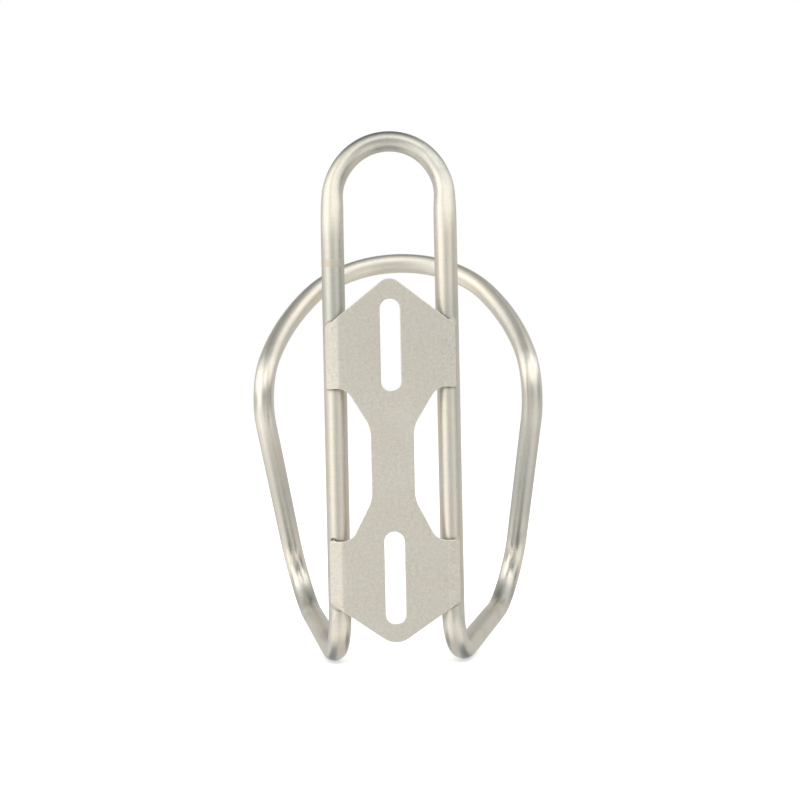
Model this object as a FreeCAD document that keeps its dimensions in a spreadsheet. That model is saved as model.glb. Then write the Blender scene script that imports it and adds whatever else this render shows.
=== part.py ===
import FreeCAD, Part

import math
import os

import Sketcher
from FreeCAD import Placement, Rotation, Vector

# Bottle cage: one closed loop of thin-walled titanium tube, and a sheet plate welded across its two rails.
# Frame, in millimetres: the origin is the middle of the two mounting slots, on the plate's back face, which
# lies in the plane Y = 0 against the bicycle. +Y points at the bottle, +Z up along it, +X to the right as
# seen from the bicycle's side.

doc = FreeCAD.newDocument("bottle_cage")

DRIVING = (
    # the bottle and the tube that goes round it
    ("bottle_dia", 74.0, "diameter of the bottle"),
    ("tube_dia", 6.35, "outside diameter of the 1/4 inch tube"),
    ("tube_wall", 0.4, "wall of the tube"),
    # mounting plate
    ("sheet_thick", 0.9, "thickness of the plate"),
    ("bend_line", 14.4, "middle of the plate to the bend of a wing"),
    ("wing_reach", 18.0, "middle of the plate to the edge of a wing"),
    ("wing_angle", 20.0, "degrees that a wing is bent towards its rail"),
    ("wing_bend", 1.5, "inside radius of that bend"),
    ("wing_corner", 0.6, "radius of the corners of a wing"),
    ("top_apex", 51.3, "height at which the upper slanted edges would meet"),
    ("top_slant", 38.2, "degrees that the upper edges slope"),
    ("top_nose", 4.0, "radius of the upper tip"),
    ("bottom_apex", -50.9, "height at which the lower slanted edges would meet"),
    ("bottom_slant", 34.3, "degrees that the lower edges slope"),
    ("bottom_nose", 6.0, "radius of the lower tip"),
    ("upper_ledge", 20.2, "height of the lower edge of the upper wings"),
    ("lower_ledge", -21.8, "height of the upper edge of the lower wings"),
    ("waist_half", 5.9, "half width of the waist"),
    ("upper_neck", 58.4, "degrees that the waist's upper flanks slope"),
    ("upper_neck_foot", 9.5, "height at which an upper flank meets the waist"),
    ("lower_neck", 62.4, "degrees that the waist's lower flanks slope"),
    ("lower_neck_foot", -10.5, "height at which a lower flank meets the waist"),
    ("neck_inner", 9.0, "fillet between flank and waist"),
    ("neck_outer", 4.6, "fillet between flank and wing"),
    ("slot_pitch", 64.0, "distance between the middles of the slots"),
    ("slot_long", 25.4, "end to end length of a slot"),
    ("slot_wide", 5.6, "width of a slot"),
    # rails and top tab
    ("rail_half", 15.7, "middle of the cage to the middle of a rail"),
    ("seat_gap", 0.02, "clearance between a wing and its rail"),
    ("tab_crest", 89.75, "height of the tube's centre line at the top of the tab"),
    ("tab_knee", 66.0, "height at which the tab starts to lean"),
    ("tab_lean", 15.0, "degrees that the tab leans over the bottle"),
    ("tab_knee_bend", 30.0, "radius of that bend"),
    ("tab_top_bend", 14.7, "radius of the arc over the top of the tab"),
    ("tab_top_turn", 45.0, "degrees that this arc turns each way, before the tab's wider side arcs"),
    # ring in front of the bottle
    ("ring_crest", 62.0, "height of the centre line at the front of the ring"),
    ("ring_tilt", 45.3, "degrees that the ring slopes down towards the sides"),
    ("ring_front_bend", 33.7, "radius of the ring's front arc"),
    ("ring_front_turn", 57.8, "degrees that the front arc turns each way"),
    ("ring_side_bend", 80.4, "radius of the ring's side arcs"),
    ("ring_side_turn", 22.7, "degrees that a side arc turns"),
    # arms and the shelf under the bottle
    ("elbow_bend", 16.0, "bend radius where ring and arm meet, at the side of the bottle"),
    ("arm_lean", 32.1, "degrees that an arm slopes forwards"),
    ("arm_taper", 6.1, "degrees that an arm slopes inwards"),
    ("toe_height", -48.0, "height at which arm and shelf would meet"),
    ("toe_bend", 15.2, "bend radius at the front of the shelf"),
    ("heel_height", -55.8, "height at which rail and shelf would meet"),
    ("heel_bend", 13.4, "bend radius at the back of the shelf"),
    # the joint of the tube's two ends, on the left rail
    ("joint_height", 55.0, "height of the joint"),
    ("joint_gap", 1.8, "width of the weld between the two ends"),
    ("joint_proud", 0.03, "height of that weld above the tube"),
    ("sleeve_long", 12.0, "length of the sleeve inside the joint"),
    ("sleeve_wall", 0.5, "wall of the sleeve"),
    ("sleeve_play", 0.03, "clearance between sleeve and tube"),
    # weld beads along the wings' edges
    ("bead_leg", 0.7, "leg of a bead, both along the tube and up the plate's edge"),
    ("bead_root", 0.3, "depth that a bead starts below the tube's surface"),
    ("bead_belly", 0.42, "share of the leg at which the middle of a bead's face lies"),
    ("bead_inner_angle", 10.0, "degrees that a bead reaches inwards round the tube"),
    ("bead_outer_angle", 40.0, "degrees that a bead reaches outwards round the tube"),
)

sheet = doc.addObject("Spreadsheet::Sheet", "Dimensions")
for row, (alias, value, meaning) in enumerate(DRIVING, 1):
    sheet.set(f"A{row}", meaning)
    sheet.set(f"B{row}", str(value))
    sheet.setAlias(f"B{row}", alias)
doc.recompute()


def dim(alias):
    """Value of one cell of the sheet."""
    return float(sheet.get(alias))


def cell(alias):
    """The same cell, as it is written in an expression."""
    return f"{sheet.Name}.{alias}"


# ---------------------------------------------------------------------------------------------------------
# Mounting plate: a bent strip, trimmed to its outline from behind, mirrored, and slotted.

WING_ANGLE = math.radians(dim("wing_angle"))
OUTSIDE_BEND = dim("wing_bend") + dim("sheet_thick")
BEND_START = dim("bend_line") - OUTSIDE_BEND * math.tan(WING_ANGLE / 2)
STOCK_HALF = 60.0    # half length of the strip, and of any bar cut from the rails, longer than the plate
MARGIN = 6.0         # how far a cut's outline passes outside the metal that it removes
LEAST_CUT = 1.0      # mm3 that a cut has to remove to count
LEVEL = 0.1          # largest upward component of a direction that still counts as level
SAME_POINT = 1e-6    # mm


def plane_of(body, role):
    """Origin plane of a body."""
    return next(plane for plane in body.Origin.OriginFeatures if plane.Role == role)


def new_sketch(body, name, role):
    sketch = body.newObject("Sketcher::SketchObject", name)
    sketch.AttachmentSupport = [(plane_of(body, role), "")]
    sketch.MapMode = "FlatFace"
    return sketch


def add_outline(sketch, corners, radii):
    """Closed outline through corners, each rounded by its radius (0 leaves it sharp), ends joined.

    Returns the numbers of the straight edges and of the arcs, by corner.
    """
    count = len(corners)
    starts, ends, arcs = {}, {}, {}
    for i, (corner, radius) in enumerate(zip(corners, radii)):
        before = (corners[i - 1] - corner).normalize()
        after = (corners[(i + 1) % count] - corner).normalize()
        if radius == 0:
            ends[i] = starts[i] = corner
            continue
        half = before.getAngle(after) / 2
        ends[i] = corner + before * (radius / math.tan(half))
        starts[i] = corner + after * (radius / math.tan(half))
        centre = corner + (before + after).normalize() * (radius / math.sin(half))
        middle = centre + (corner - centre).normalize() * radius
        arcs[i] = sketch.addGeometry(Part.Arc(ends[i], middle, starts[i]))
    lines = {}
    for i in range(count):
        lines[i] = sketch.addGeometry(Part.LineSegment(starts[i], ends[(i + 1) % count]))
    for i in range(count):
        into, out = lines[i - 1] if i else lines[count - 1], lines[i]
        if i not in arcs:
            sketch.addConstraint(Sketcher.Constraint("Coincident", into, 2, out, 1))
            continue
        begin = arc_end_near(sketch, arcs[i], ends[i])
        sketch.addConstraint(Sketcher.Constraint("Tangent", into, 2, arcs[i], begin))
        sketch.addConstraint(Sketcher.Constraint("Tangent", out, 1, arcs[i], 3 - begin))
    return lines, arcs


def arc_end_near(sketch, arc, point):
    """Which end of a sketched arc, 1 or 2, lies at a point."""
    first, second = sketch.getPoint(arc, 1), sketch.getPoint(arc, 2)
    return 1 if first.distanceToPoint(point) < second.distanceToPoint(point) else 2


def bind(sketch, constraint, name, expression):
    """Add a dimension and drive it from the sheet."""
    index = sketch.addConstraint(constraint)
    sketch.renameConstraint(index, name)
    sketch.setExpression(f"Constraints.{name}", expression)


def cut_through(body, sketch, name):
    """Pocket a sketch on the XZ plane through the whole plate, and make sure that it removes metal."""
    doc.recompute()
    before = body.Shape.Volume
    pocket = body.newObject("PartDesign::Pocket", name)
    pocket.Profile = sketch
    pocket.Type = "ThroughAll"
    pocket.Midplane = True
    doc.recompute()
    if pocket.Shape.Volume > before - LEAST_CUT:
        raise RuntimeError(f"{name} removes nothing")
    return pocket


plate = doc.addObject("PartDesign::Body", "mounting_plate")
plate.Label = "mounting_plate"

# Half of the bent section, seen along Z: flat, bend and wing, a sheet thickness deep.
section = new_sketch(plate, "bent_section", "XY_Plane")
thick = dim("sheet_thick")
along = Vector(math.cos(WING_ANGLE), math.sin(WING_ANGLE), 0)
across = Vector(-math.sin(WING_ANGLE), math.cos(WING_ANGLE), 0)
bend_centre = Vector(BEND_START, OUTSIDE_BEND, 0)
bend_down = Vector(BEND_START, 0, 0)
bend_up = bend_centre - across * OUTSIDE_BEND
wing_long = (dim("wing_reach") - bend_up.x) / along.x
wing_tip = bend_up + along * wing_long
bend_half = Vector(math.sin(WING_ANGLE / 2), -math.cos(WING_ANGLE / 2), 0)
flat_back = section.addGeometry(Part.LineSegment(Vector(0, 0, 0), bend_down))
bend_back = section.addGeometry(Part.Arc(bend_down, bend_centre + bend_half * OUTSIDE_BEND, bend_up))
wing_back = section.addGeometry(Part.LineSegment(bend_up, wing_tip))
wing_end = section.addGeometry(Part.LineSegment(wing_tip, wing_tip + across * thick))
wing_front = section.addGeometry(Part.LineSegment(wing_tip + across * thick, bend_up + across * thick))
bend_front = section.addGeometry(Part.Arc(bend_up + across * thick,
                                          bend_centre + bend_half * dim("wing_bend"),
                                          bend_down + Vector(0, thick, 0)))
flat_front = section.addGeometry(Part.LineSegment(bend_down + Vector(0, thick, 0), Vector(0, thick, 0)))
middle_edge = section.addGeometry(Part.LineSegment(Vector(0, thick, 0), Vector(0, 0, 0)))
for first, first_end, second, second_end in ((wing_back, 2, wing_end, 1), (wing_end, 2, wing_front, 1),
                                             (flat_front, 2, middle_edge, 1), (middle_edge, 2, flat_back, 1)):
    section.addConstraint(Sketcher.Constraint("Coincident", first, first_end, second, second_end))
for line, line_end, arc, at in ((flat_back, 2, bend_back, bend_down), (wing_back, 1, bend_back, bend_up),
                                (wing_front, 2, bend_front, bend_up + across * thick),
                                (flat_front, 1, bend_front, bend_down + Vector(0, thick, 0))):
    section.addConstraint(Sketcher.Constraint("Tangent", line, line_end, arc, arc_end_near(section, arc, at)))
section.addConstraint(Sketcher.Constraint("Coincident", bend_back, 3, bend_front, 3))
section.addConstraint(Sketcher.Constraint("Coincident", flat_back, 1, -1, 1))
section.addConstraint(Sketcher.Constraint("Horizontal", flat_back))
section.addConstraint(Sketcher.Constraint("Vertical", middle_edge))
section.addConstraint(Sketcher.Constraint("Perpendicular", wing_back, wing_end))
bind(section, Sketcher.Constraint("Distance", middle_edge, thick), "thick", cell("sheet_thick"))
bind(section, Sketcher.Constraint("Radius", bend_front, dim("wing_bend")), "bend", cell("wing_bend"))
bind(section, Sketcher.Constraint("Angle", flat_back, 1, wing_back, 1, WING_ANGLE), "turn",
     f"{cell('wing_angle')} * 1deg")
bind(section, Sketcher.Constraint("DistanceX", -1, 1, wing_back, 2, dim("wing_reach")), "reach",
     cell("wing_reach"))
bind(section, Sketcher.Constraint("Distance", flat_back, BEND_START), "flat",
     f"{cell('bend_line')} - ({cell('wing_bend')} + {cell('sheet_thick')})"
     f" * tan({cell('wing_angle')} * 0.5deg)")
strip = plate.newObject("PartDesign::Pad", "bent_strip")
strip.Profile = section
strip.Length = 2 * STOCK_HALF
strip.Midplane = True


def slanted_trim(name, apex, slant, nose, side):
    """Trim one end of the half strip along its slanted edge and its rounded tip; side is 1 up, -1 down."""
    sketch = new_sketch(plate, name, "XZ_Plane")
    slope = math.radians(dim(slant))
    start = Vector(0, dim(apex), 0)
    reach = dim("wing_reach") + MARGIN
    far = Vector(reach, dim(apex) - side * reach * math.tan(slope), 0)
    outer = side * (STOCK_HALF + MARGIN)
    # the tip's arc has its middle on the line X = 0, so the slanted edge starts where that arc ends
    centre = start - Vector(0, side * dim(nose) / math.cos(slope), 0)
    tip = centre + Vector(0, side * dim(nose), 0)
    joint = centre + Vector(math.sin(slope), side * math.cos(slope), 0) * dim(nose)
    between = centre + Vector(math.sin(slope / 2), side * math.cos(slope / 2), 0) * dim(nose)
    arc = sketch.addGeometry(Part.Arc(tip, between, joint))
    slanted = sketch.addGeometry(Part.LineSegment(joint, far))
    upright = sketch.addGeometry(Part.LineSegment(far, Vector(reach, outer, 0)))
    level = sketch.addGeometry(Part.LineSegment(Vector(reach, outer, 0), Vector(0, outer, 0)))
    back = sketch.addGeometry(Part.LineSegment(Vector(0, outer, 0), tip))
    for first, second in ((slanted, upright), (upright, level), (level, back)):
        sketch.addConstraint(Sketcher.Constraint("Coincident", first, 2, second, 1))
    sketch.addConstraint(Sketcher.Constraint("Coincident", back, 2, arc, arc_end_near(sketch, arc, tip)))
    sketch.addConstraint(Sketcher.Constraint("Tangent", slanted, 1, arc, arc_end_near(sketch, arc, joint)))
    sketch.addConstraint(Sketcher.Constraint("PointOnObject", arc, 3, -2))
    sketch.addConstraint(Sketcher.Constraint("PointOnObject", back, 1, -2))
    sketch.addConstraint(Sketcher.Constraint("PointOnObject", back, 2, -2))
    sketch.addConstraint(Sketcher.Constraint("Vertical", upright))
    sketch.addConstraint(Sketcher.Constraint("Horizontal", level))
    sketch.addConstraint(Sketcher.Constraint("DistanceX", -1, 1, upright, 1, reach))
    sketch.addConstraint(Sketcher.Constraint("DistanceY", -1, 1, level, 1, outer))
    bind(sketch, Sketcher.Constraint("Radius", arc, dim(nose)), "nose", cell(nose))
    bind(sketch, Sketcher.Constraint("DistanceY", -1, 1, arc, 3, centre.y), "nose_middle",
         f"{cell(apex)} - {side} * {cell(nose)} / cos({cell(slant)} * 1deg)")
    bind(sketch, Sketcher.Constraint("DistanceY", -1, 1, slanted, 2, far.y), "slanted_end",
         f"{cell(apex)} - {side} * ({cell('wing_reach')} + {MARGIN}) * tan({cell(slant)} * 1deg)")
    return cut_through(plate, sketch, f"{name}_cut")


top_cut = slanted_trim("top_trim", "top_apex", "top_slant", "top_nose", 1)
bottom_cut = slanted_trim("bottom_trim", "bottom_apex", "bottom_slant", "bottom_nose", -1)

# The notch between the upper and the lower wing: ledge, flank, waist, flank, ledge.
waist = new_sketch(plate, "waist_notch", "XZ_Plane")
outside = dim("wing_reach") + MARGIN
upper_rise = math.tan(math.radians(dim("upper_neck")))
lower_rise = math.tan(math.radians(dim("lower_neck")))
upper_corner_x = dim("waist_half") + (dim("upper_ledge") - dim("upper_neck_foot")) / upper_rise
lower_corner_x = dim("waist_half") + (dim("lower_neck_foot") - dim("lower_ledge")) / lower_rise
notch = [
    Vector(outside, dim("upper_ledge"), 0),
    Vector(upper_corner_x, dim("upper_ledge"), 0),
    Vector(dim("waist_half"), dim("upper_neck_foot"), 0),
    Vector(dim("waist_half"), dim("lower_neck_foot"), 0),
    Vector(lower_corner_x, dim("lower_ledge"), 0),
    Vector(outside, dim("lower_ledge"), 0),
]
neck_radii = [0, dim("neck_outer"), dim("neck_inner"), dim("neck_inner"), dim("neck_outer"), 0]
edges, rounds = add_outline(waist, notch, neck_radii)
for number in (0, 4):
    waist.addConstraint(Sketcher.Constraint("Horizontal", edges[number]))
for number in (2, 5):
    waist.addConstraint(Sketcher.Constraint("Vertical", edges[number]))
waist.addConstraint(Sketcher.Constraint("DistanceX", -1, 1, edges[5], 1, outside))
bind(waist, Sketcher.Constraint("DistanceY", -1, 1, edges[0], 1, dim("upper_ledge")), "upper_ledge",
     cell("upper_ledge"))
bind(waist, Sketcher.Constraint("DistanceY", edges[4], 2, -1, 1, -dim("lower_ledge")), "lower_ledge",
     f"-{cell('lower_ledge')}")
bind(waist, Sketcher.Constraint("DistanceX", -1, 1, edges[2], 1, dim("waist_half")), "waist_half",
     cell("waist_half"))
for name, corner, alias in (("upper_outer", 1, "neck_outer"), ("upper_inner", 2, "neck_inner"),
                            ("lower_inner", 3, "neck_inner"), ("lower_outer", 4, "neck_outer")):
    bind(waist, Sketcher.Constraint("Radius", rounds[corner], dim(alias)), name, cell(alias))
notch_cut = cut_through(plate, waist, "waist_cut")

whole = plate.newObject("PartDesign::Mirrored", "both_halves")
whole.Originals = [strip, top_cut, bottom_cut, notch_cut]
whole.MirrorPlane = (plane_of(plate, "YZ_Plane"), [""])
plate.Tip = whole
doc.recompute()

# Two upright slots for the bolts.
slot = new_sketch(plate, "slot_outline", "XZ_Plane")
slot_radius = dim("slot_wide") / 2
slot_middle = dim("slot_pitch") / 2
slot_run = dim("slot_long") / 2 - slot_radius
upper_end = Vector(0, slot_middle + slot_run, 0)
lower_end = Vector(0, slot_middle - slot_run, 0)
side_step = Vector(slot_radius, 0, 0)
cap = Vector(0, slot_radius, 0)
upper_cap = slot.addGeometry(Part.Arc(upper_end + side_step, upper_end + cap, upper_end - side_step))
lower_cap = slot.addGeometry(Part.Arc(lower_end - side_step, lower_end - cap, lower_end + side_step))
left_side = slot.addGeometry(Part.LineSegment(upper_end - side_step, lower_end - side_step))
right_side = slot.addGeometry(Part.LineSegment(lower_end + side_step, upper_end + side_step))
for line, line_end, arc, at in ((left_side, 1, upper_cap, upper_end - side_step),
                                (left_side, 2, lower_cap, lower_end - side_step),
                                (right_side, 1, lower_cap, lower_end + side_step),
                                (right_side, 2, upper_cap, upper_end + side_step)):
    slot.addConstraint(Sketcher.Constraint("Tangent", line, line_end, arc, arc_end_near(slot, arc, at)))
slot.addConstraint(Sketcher.Constraint("PointOnObject", upper_cap, 3, -2))
slot.addConstraint(Sketcher.Constraint("PointOnObject", lower_cap, 3, -2))
bind(slot, Sketcher.Constraint("Radius", upper_cap, slot_radius), "end_radius", f"{cell('slot_wide')} / 2")
bind(slot, Sketcher.Constraint("DistanceY", -1, 1, upper_cap, 3, upper_end.y), "upper_centre",
     f"({cell('slot_pitch')} + {cell('slot_long')} - {cell('slot_wide')}) / 2")
bind(slot, Sketcher.Constraint("DistanceY", -1, 1, lower_cap, 3, lower_end.y), "lower_centre",
     f"({cell('slot_pitch')} - {cell('slot_long')} + {cell('slot_wide')}) / 2")
upper_slot = cut_through(plate, slot, "upper_slot")
both_slots = plate.newObject("PartDesign::Mirrored", "both_slots")
both_slots.Originals = [upper_slot]
both_slots.MirrorPlane = (plane_of(plate, "XY_Plane"), [""])
plate.Tip = both_slots
doc.recompute()
if both_slots.Shape.Volume > upper_slot.Shape.Volume - LEAST_CUT:
    raise RuntimeError("the lower slot removes nothing")

# Round the corners of the four wings. Those edges run through the sheet, near the wings' outer edge.
corner_edges = []
for number, edge in enumerate(both_slots.Shape.Edges, 1):
    short = edge.Length < 1.2 * thick
    outermost = abs(edge.CenterOfMass.x) > dim("wing_reach") - thick
    level = abs(edge.tangentAt(edge.FirstParameter).z) < LEVEL
    if short and outermost and level:
        corner_edges.append(f"Edge{number}")
wing_corners = plate.newObject("PartDesign::Fillet", "wing_corners")
wing_corners.Base = (both_slots, corner_edges)
wing_corners.setExpression("Radius", cell("wing_corner"))
plate.Tip = wing_corners
doc.recompute()

# ---------------------------------------------------------------------------------------------------------
# Tube loop: its centre line is straight runs and tangent arcs, from the joint on the left rail over the top
# tab, down the right rail, forwards under the bottle, up the right arm, round the ring, and back the same
# way on the left.

TUBE_RADIUS = dim("tube_dia") / 2
BORE_RADIUS = TUBE_RADIUS - dim("tube_wall")
# a wing's front face touches its rail, which fixes how far forward of the plate the rails stand
RAIL_Y = OUTSIDE_BEND + (TUBE_RADIUS + dim("seat_gap") - dim("wing_bend")
                         + (dim("rail_half") - BEND_START) * math.sin(WING_ANGLE)) / math.cos(WING_ANGLE)


def direction(x, y, z):
    return Vector(x, y, z).normalize()


def bend(before, corner, after, radius):
    """Start, middle and end of the arc that rounds a corner of the centre line."""
    back = (before - corner).normalize()
    ahead = (after - corner).normalize()
    half = back.getAngle(ahead) / 2
    centre = corner + (back + ahead).normalize() * (radius / math.sin(half))
    start = corner + back * (radius / math.tan(half))
    end = corner + ahead * (radius / math.tan(half))
    return start, centre + (corner - centre).normalize() * radius, end


def right_half():
    """Centre line of the right half, from the top of the tab to the front of the ring, as arcs."""
    lean = math.radians(dim("tab_lean"))
    tilt = math.radians(dim("ring_tilt"))
    rail = dim("rail_half")
    up_tab = direction(0, math.sin(lean), math.cos(lean))
    knee = Vector(rail, RAIL_Y, dim("tab_knee"))
    tab_reach = (dim("tab_crest") - dim("tab_knee")) / math.cos(lean)
    tab_top = Vector(0, RAIL_Y, dim("tab_knee")) + up_tab * tab_reach
    top_turn = math.radians(dim("tab_top_turn"))
    top_bend = dim("tab_top_bend")
    top_centre = tab_top - up_tab * top_bend

    def spoke(centre, radius, angle):
        """Point of an arc in the tab's plane, at an angle from its top."""
        return centre + Vector(1, 0, 0) * (radius * math.sin(angle)) + up_tab * (radius * math.cos(angle))

    # the side arc has the radius that brings it out to the rail
    shoulder_bend = (rail - top_bend * math.sin(top_turn)) / (1 - math.sin(top_turn))
    shoulder = spoke(top_centre, top_bend, top_turn)
    shoulder_centre = spoke(shoulder, -shoulder_bend, top_turn)
    tab_over = (tab_top, spoke(top_centre, top_bend, top_turn / 2), shoulder)
    tab_side = (shoulder, spoke(shoulder_centre, shoulder_bend, (top_turn + math.pi / 2) / 2),
                spoke(shoulder_centre, shoulder_bend, math.pi / 2))

    # ring: two arcs in a plane that slopes down and back from the front
    down_ring = direction(0, -math.cos(tilt), -math.sin(tilt))
    front_turn = math.radians(dim("ring_front_turn"))
    side_turn = math.radians(dim("ring_side_turn"))
    crest = Vector(0, RAIL_Y + rail_to_ring(), dim("ring_crest"))
    front_bend = dim("ring_front_bend")
    side_bend = dim("ring_side_bend")
    front_centre = crest + down_ring * front_bend

    def on_front(angle):
        return front_centre + (Vector(1, 0, 0) * math.sin(angle) - down_ring * math.cos(angle)) * front_bend

    side_centre = on_front(front_turn) + (front_centre - on_front(front_turn)).normalize() * side_bend

    def on_side(angle):
        return side_centre + (Vector(1, 0, 0) * math.sin(angle) - down_ring * math.cos(angle)) * side_bend

    ring_end_turn = front_turn + side_turn
    ring_front = (crest, on_front(front_turn / 2), on_front(front_turn))
    ring_side = (on_front(front_turn), on_side(front_turn + side_turn / 2), on_side(ring_end_turn))
    ring_run = Vector(1, 0, 0) * math.cos(ring_end_turn) + down_ring * math.sin(ring_end_turn)

    # the arm leaves the ring's end through the elbow
    inwards, forwards = (math.tan(math.radians(dim(angle))) for angle in ("arm_taper", "arm_lean"))
    arm_run = direction(-inwards, forwards, -1)
    elbow_turn = ring_run.getAngle(arm_run)
    elbow_corner = ring_side[2] + ring_run * (dim("elbow_bend") * math.tan(elbow_turn / 2))
    toe_corner = elbow_corner + arm_run * ((elbow_corner.z - dim("toe_height")) / -arm_run.z)
    heel_corner = Vector(rail, RAIL_Y, dim("heel_height"))
    return [
        tab_over,
        tab_side,
        tuple(reversed(bend(heel_corner, knee, tab_side[2], dim("tab_knee_bend")))),
        bend(knee, heel_corner, toe_corner, dim("heel_bend")),
        bend(heel_corner, toe_corner, elbow_corner, dim("toe_bend")),
        bend(toe_corner, elbow_corner, ring_side[2], dim("elbow_bend")),
        tuple(reversed(ring_side)),
        tuple(reversed(ring_front)),
    ]


def rail_to_ring():
    """Distance from the rails' plane to the front of the ring, over the bottle that touches both."""
    reach = dim("bottle_dia") / 2 + TUBE_RADIUS
    return reach + math.sqrt(reach ** 2 - dim("rail_half") ** 2)


def mirrored(point):
    return Vector(-point.x, point.y, point.z)


def loop_edges():
    """Edges of the whole centre line, from the joint's upper side round to its lower side."""
    right = right_half()
    left = [tuple(mirrored(point) for point in reversed(arc)) for arc in reversed(right)]
    joint = Vector(-dim("rail_half"), RAIL_Y, dim("joint_height"))
    half_gap = Vector(0, 0, dim("joint_gap") / 2)
    # the left half ends with the knee and the tab's two arcs, which come first here, after the joint
    arcs = left[-3:] + right + left[:-3]
    edges = []
    at = joint + half_gap
    for start, middle, end in arcs:
        if at.distanceToPoint(start) > SAME_POINT:
            edges.append(Part.LineSegment(at, start).toShape())
        edges.append(Part.Arc(start, middle, end).toShape())
        at = end
    edges.append(Part.LineSegment(at, joint - half_gap).toShape())
    return edges


centre_line = doc.addObject("Part::Feature", "centre_line")
centre_line.Shape = Part.Wire(loop_edges())


def swept(name, radius_expression):
    """Solid round bar along the centre line."""
    circle = doc.addObject("Part::Circle", f"{name}_circle")
    circle.setExpression("Radius", radius_expression)
    circle.Placement = Placement(centre_line.Shape.Edges[0].Vertexes[0].Point, Rotation())
    bar = doc.addObject("Part::Sweep", name)
    bar.Sections = [circle]
    bar.Spine = (centre_line, [])
    bar.Solid = True
    bar.Frenet = False
    return bar


tube = doc.addObject("Part::Cut", "tube_loop")
tube.Label = "tube_loop"
tube.Base = swept("tube_outside", f"{cell('tube_dia')} / 2")
tube.Tool = swept("tube_bore", f"{cell('tube_dia')} / 2 - {cell('tube_wall')}")
doc.recompute()

# ---------------------------------------------------------------------------------------------------------
# Joint of the tube's ends: a ring of weld between them, and a sleeve inside both.


def pipe(name, outer_expression, inner_expression, length_alias):
    """Straight pipe about the left rail, centred on the joint."""
    outer = doc.addObject("Part::Cylinder", f"{name}_outside")
    inner = doc.addObject("Part::Cylinder", f"{name}_bore")
    outer.setExpression("Radius", outer_expression)
    inner.setExpression("Radius", inner_expression)
    for cylinder in (outer, inner):
        cylinder.setExpression("Height", cell(length_alias))
        cylinder.Placement.Base = Vector(-dim("rail_half"), RAIL_Y, 0)
        cylinder.setExpression("Placement.Base.z", f"{cell('joint_height')} - {cell(length_alias)} / 2")
    ring = doc.addObject("Part::Cut", name)
    ring.Label = name
    ring.Base = outer
    ring.Tool = inner
    return ring


BORE = f"{cell('tube_dia')} / 2 - {cell('tube_wall')}"
joint_weld = pipe("joint_weld", f"{cell('tube_dia')} / 2 + {cell('joint_proud')}", BORE, "joint_gap")
joint_sleeve = pipe("joint_sleeve", f"{BORE} - {cell('sleeve_play')}",
                    f"{BORE} - {cell('sleeve_play')} - {cell('sleeve_wall')}", "sleeve_long")

# ---------------------------------------------------------------------------------------------------------
# Weld beads: one along each end of each wing, round the back of the rail that it lies on.


def rail_core(side):
    """The rail as a straight bar, to cut the beads' undersides."""
    core = doc.addObject("Part::Cylinder", f"{side}_rail_core")
    core.setExpression("Radius", f"{cell('tube_dia')} / 2")
    core.Height = 2 * STOCK_HALF
    sign = -1 if side == "left" else 1
    core.Placement.Base = Vector(sign * dim("rail_half"), RAIL_Y, -STOCK_HALF)
    return core


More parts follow.
